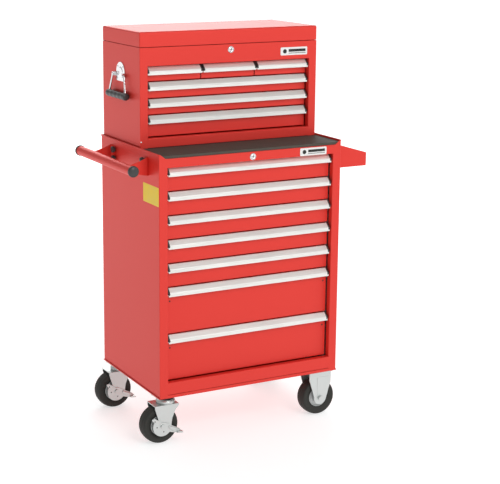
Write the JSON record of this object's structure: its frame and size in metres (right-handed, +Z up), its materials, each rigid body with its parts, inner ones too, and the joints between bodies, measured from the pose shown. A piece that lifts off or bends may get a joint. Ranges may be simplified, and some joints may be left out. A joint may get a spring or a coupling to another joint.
{
  "type": "rolling tool chest",
  "caption": "Red steel tool cabinet on casters with a lidded drawer chest on top, push handle on one side and a bin shelf on the other.",
  "frame": {"origin": "on the floor, under the middle of the bounding box", "axes": "+X to the object's right as its front is faced (side shelf side), -Y out of the drawer fronts, +Z up"},
  "size_m": [0.9054, 0.4614, 1.335],
  "materials": {
    "red_enamel": "glossy red enamel",
    "satin_aluminium": "satin, lengthwise brushed",
    "mat_rubber": "matte",
    "zinc_plate": "bright zinc plate",
    "tyre_rubber": "matte",
    "black_plastic": "satin",
    "chrome": "bright chrome"
  },
  "bodies": {
    "cabinet_and_chest": {"cabinet_shell": "red_enamel", "cabinet_top_pan": "red_enamel", "cabinet_base": "red_enamel", "top_mat": "mat_rubber", "slide_rack_left": "zinc_plate", "slide_rack_right": "zinc_plate", "push_handle_bracket": "red_enamel", "push_handle_tube": "red_enamel", "handle_cap_front": "black_plastic", "handle_cap_rear": "black_plastic", "side_shelf": "red_enamel", "swivel_plate_front": "zinc_plate", "rigid_fork_front": "zinc_plate", "swivel_plate_rear": "zinc_plate", "rigid_fork_rear": "zinc_plate", "chest_shell": "red_enamel", "chest_till": "red_enamel", "chest_handle_plate_left": "chrome", "chest_handle_plate_right": "chrome"},
    "cabinet_drawer_1_body": {"cabinet_drawer_1": "red_enamel", "cabinet_pull_1": "satin_aluminium"},
    "cabinet_drawer_2_body": {"cabinet_drawer_2": "red_enamel", "cabinet_pull_2": "satin_aluminium"},
    "cabinet_drawer_3_body": {"cabinet_drawer_3": "red_enamel", "cabinet_pull_3": "satin_aluminium"},
    "cabinet_drawer_4_body": {"cabinet_drawer_4": "red_enamel", "cabinet_pull_4": "satin_aluminium"},
    "cabinet_drawer_5_body": {"cabinet_drawer_5": "red_enamel", "cabinet_pull_5": "satin_aluminium"},
    "cabinet_drawer_6_body": {"cabinet_drawer_6": "red_enamel", "cabinet_pull_6": "satin_aluminium"},
    "cabinet_drawer_7_body": {"cabinet_drawer_7": "red_enamel", "cabinet_pull_7": "satin_aluminium"},
    "chest_drawer_1a_body": {"chest_drawer_1a": "red_enamel", "chest_pull_1a": "satin_aluminium"},
    "chest_drawer_1b_body": {"chest_drawer_1b": "red_enamel", "chest_pull_1b": "satin_aluminium"},
    "chest_drawer_1c_body": {"chest_drawer_1c": "red_enamel", "chest_pull_1c": "satin_aluminium"},
    "chest_drawer_2_body": {"chest_drawer_2": "red_enamel", "chest_pull_2": "satin_aluminium"},
    "chest_drawer_3_body": {"chest_drawer_3": "red_enamel", "chest_pull_3": "satin_aluminium"},
    "chest_drawer_4_body": {"chest_drawer_4": "red_enamel", "chest_pull_4": "satin_aluminium"},
    "lid": {"chest_lid": "red_enamel"},
    "cabinet_lock_plug_body": {"cabinet_lock_plug": "chrome"},
    "chest_lock_plug_body": {"chest_lock_plug": "chrome"},
    "chest_bail_left_body": {"chest_bail_left": "chrome", "chest_grip_left": "black_plastic"},
    "chest_bail_right_body": {"chest_bail_right": "chrome", "chest_grip_right": "black_plastic"},
    "swivel_front": {"swivel_fork_front": "zinc_plate"},
    "brake_front": {"brake_lever_front": "zinc_plate"},
    "left_wheel_front": {"wheel_left_front": "tyre_rubber"},
    "right_wheel_front": {"wheel_right_front": "tyre_rubber"},
    "swivel_rear": {"swivel_fork_rear": "zinc_plate"},
    "brake_rear": {"brake_lever_rear": "zinc_plate"},
    "left_wheel_rear": {"wheel_left_rear": "tyre_rubber"},
    "right_wheel_rear": {"wheel_right_rear": "tyre_rubber"}
  },
  "joints": [
    {"name": "cabinet_drawer_1_slide", "type": "slide", "parent": "cabinet_and_chest", "child": "cabinet_drawer_1_body", "axis": [0, -1, 0], "range_m": [0, 0.36]},
    {"name": "cabinet_drawer_2_slide", "type": "slide", "parent": "cabinet_and_chest", "child": "cabinet_drawer_2_body", "axis": [0, -1, 0], "range_m": [0, 0.36]},
    {"name": "cabinet_drawer_3_slide", "type": "slide", "parent": "cabinet_and_chest", "child": "cabinet_drawer_3_body", "axis": [0, -1, 0], "range_m": [0, 0.36]},
    {"name": "cabinet_drawer_4_slide", "type": "slide", "parent": "cabinet_and_chest", "child": "cabinet_drawer_4_body", "axis": [0, -1, 0], "range_m": [0, 0.36]},
    {"name": "cabinet_drawer_5_slide", "type": "slide", "parent": "cabinet_and_chest", "child": "cabinet_drawer_5_body", "axis": [0, -1, 0], "range_m": [0, 0.36]},
    {"name": "cabinet_drawer_6_slide", "type": "slide", "parent": "cabinet_and_chest", "child": "cabinet_drawer_6_body", "axis": [0, -1, 0], "range_m": [0, 0.36]},
    {"name": "cabinet_drawer_7_slide", "type": "slide", "parent": "cabinet_and_chest", "child": "cabinet_drawer_7_body", "axis": [0, -1, 0], "range_m": [0, 0.36]},
    {"name": "chest_drawer_1a_slide", "type": "slide", "parent": "cabinet_and_chest", "child": "chest_drawer_1a_body", "axis": [0, -1, 0], "range_m": [0, 0.22]},
    {"name": "chest_drawer_1b_slide", "type": "slide", "parent": "cabinet_and_chest", "child": "chest_drawer_1b_body", "axis": [0, -1, 0], "range_m": [0, 0.22]},
    {"name": "chest_drawer_1c_slide", "type": "slide", "parent": "cabinet_and_chest", "child": "chest_drawer_1c_body", "axis": [0, -1, 0], "range_m": [0, 0.22]},
    {"name": "chest_drawer_2_slide", "type": "slide", "parent": "cabinet_and_chest", "child": "chest_drawer_2_body", "axis": [0, -1, 0], "range_m": [0, 0.22]},
    {"name": "chest_drawer_3_slide", "type": "slide", "parent": "cabinet_and_chest", "child": "chest_drawer_3_body", "axis": [0, -1, 0], "range_m": [0, 0.22]},
    {"name": "chest_drawer_4_slide", "type": "slide", "parent": "cabinet_and_chest", "child": "chest_drawer_4_body", "axis": [0, -1, 0], "range_m": [0, 0.22]},
    {"name": "lid_hinge", "type": "hinge", "parent": "cabinet_and_chest", "child": "lid", "pos_m": [-0.01725, 0.22835, 1.2858], "axis": [-1, 0, 0], "range_deg": [0, 95]},
    {"name": "cabinet_lock_plug_turn", "type": "hinge", "parent": "cabinet_and_chest", "child": "cabinet_lock_plug_body", "pos_m": [-0.01725, -0.22925, 0.9362], "axis": [0, 1, 0], "range_deg": [0, 90]},
    {"name": "chest_lock_plug_turn", "type": "hinge", "parent": "cabinet_and_chest", "child": "chest_lock_plug_body", "pos_m": [-0.01725, -0.07375, 1.2673], "axis": [0, 1, 0], "range_deg": [0, 90]},
    {"name": "chest_bail_left_swing", "type": "hinge", "parent": "cabinet_and_chest", "child": "chest_bail_left_body", "pos_m": [-0.35375, 0.07625, 1.187], "axis": [0, 1, 0], "range_deg": [0, 90]},
    {"name": "chest_bail_right_swing", "type": "hinge", "parent": "cabinet_and_chest", "child": "chest_bail_right_body", "pos_m": [0.31925, 0.07625, 1.187], "axis": [0, -1, 0], "range_deg": [0, 90]},
    {"name": "swivel_front_turn", "type": "hinge", "parent": "cabinet_and_chest", "child": "swivel_front", "pos_m": [-0.30925, -0.17925, 0.1478], "axis": [0, 0, 1], "continuous": true},
    {"name": "brake_front_press", "type": "hinge", "parent": "swivel_front", "child": "brake_front", "pos_m": [-0.33575, -0.17925, 0.0635], "axis": [0, 1, 0], "range_deg": [0, 12]},
    {"name": "left_wheel_front_spin", "type": "hinge", "parent": "swivel_front", "child": "left_wheel_front", "pos_m": [-0.33575, -0.17925, 0.0635], "axis": [0, 1, 0], "continuous": true},
    {"name": "right_wheel_front_spin", "type": "hinge", "parent": "cabinet_and_chest", "child": "right_wheel_front", "pos_m": [0.26875, -0.17925, 0.0635], "axis": [0, 1, 0], "continuous": true},
    {"name": "swivel_rear_turn", "type": "hinge", "parent": "cabinet_and_chest", "child": "swivel_rear", "pos_m": [-0.30925, 0.19775, 0.1478], "axis": [0, 0, 1], "continuous": true},
    {"name": "brake_rear_press", "type": "hinge", "parent": "swivel_rear", "child": "brake_rear", "pos_m": [-0.33575, 0.19775, 0.0635], "axis": [0, 1, 0], "range_deg": [0, 12]},
    {"name": "left_wheel_rear_spin", "type": "hinge", "parent": "swivel_rear", "child": "left_wheel_rear", "pos_m": [-0.33575, 0.19775, 0.0635], "axis": [0, 1, 0], "continuous": true},
    {"name": "right_wheel_rear_spin", "type": "hinge", "parent": "cabinet_and_chest", "child": "right_wheel_rear", "pos_m": [0.26875, 0.19775, 0.0635], "axis": [0, 1, 0], "continuous": true}
  ]
}
